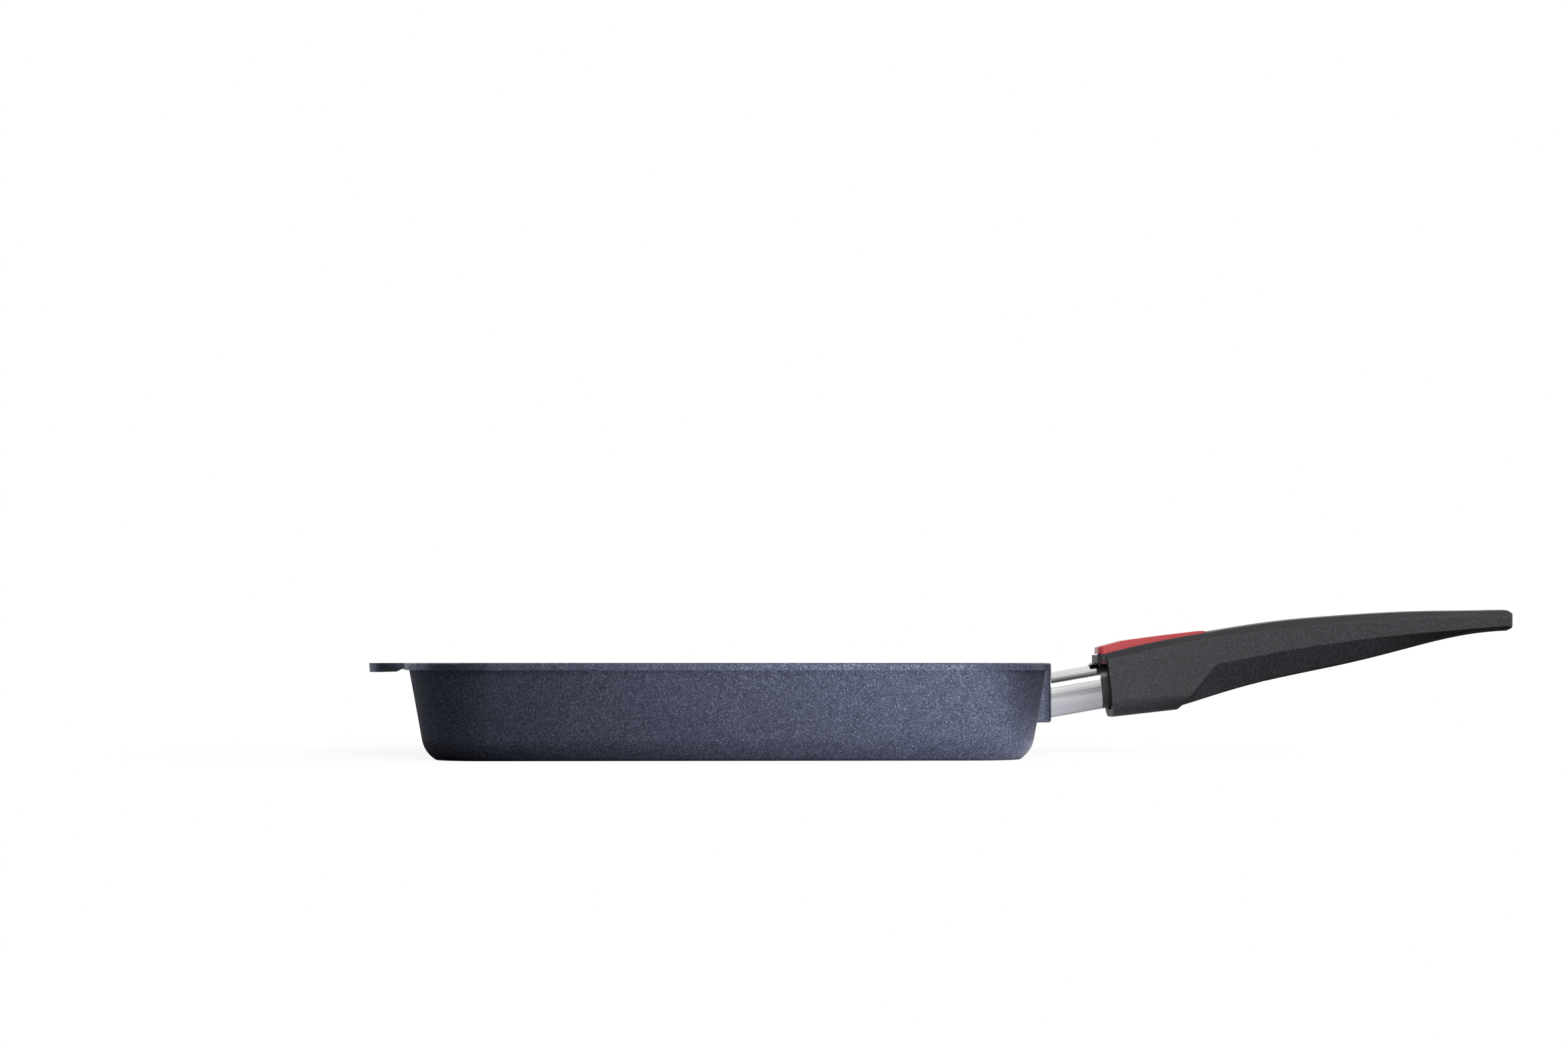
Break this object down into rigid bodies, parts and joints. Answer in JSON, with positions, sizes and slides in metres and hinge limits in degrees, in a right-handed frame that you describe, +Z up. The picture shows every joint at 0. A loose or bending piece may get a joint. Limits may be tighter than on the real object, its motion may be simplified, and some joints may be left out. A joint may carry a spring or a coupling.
{
  "type": "grill pan",
  "caption": "Square cast grill pan with raised ribs, a cast helper tab and a detachable tilted handle released by a rocker button.",
  "frame": {"origin": "centre of the flat machined base, on the table", "axes": "+X towards the handle, +Y to the far side, +Z up out of the pan"},
  "size_m": [0.5477, 0.288, 0.0689],
  "materials": {
    "coated_casting": "cast aluminium with a dark blue speckled non-stick coating",
    "phenolic": "black moulded phenolic with a fine grain",
    "sleeve_steel": "satin stainless steel, brushed along the handle",
    "collar_grey": "dark grey matte heat-proof polymer",
    "button_red": "red satin moulded polymer",
    "die_cast": "grey die-cast metal as cast",
    "spring_steel": "bright spring steel strip",
    "fastener_steel": "zinc-plated steel"
  },
  "bodies": {
    "pan": {"pan_body": "coated_casting"},
    "handle": {"handle_grip": "phenolic", "handle_core": "die_cast", "flame_guard_sleeve": "sleeve_steel", "sleeve_liner": "die_cast", "sleeve_collar": "collar_grey", "catch_spring": "spring_steel", "catch_rivets": "fastener_steel", "button_pivot_pin": "fastener_steel", "core_screw": "fastener_steel", "core_screw_washer": "fastener_steel"},
    "button": {"release_button": "button_red"}
  },
  "joints": [
    {"name": "handle_pull_off", "type": "slide", "parent": "pan", "child": "handle", "axis": [0.9848, 0, 0.1736], "range_m": [0, 0.06]},
    {"name": "button_press", "type": "hinge", "parent": "handle", "child": "button", "pos_m": [0.207, 0, 0.0514], "axis": [0, 1, 0], "range_deg": [0, 4.5], "stiffness_Nm_per_rad": 1, "springref_deg": -5.73, "deforming": ["catch_spring"]}
  ]
}
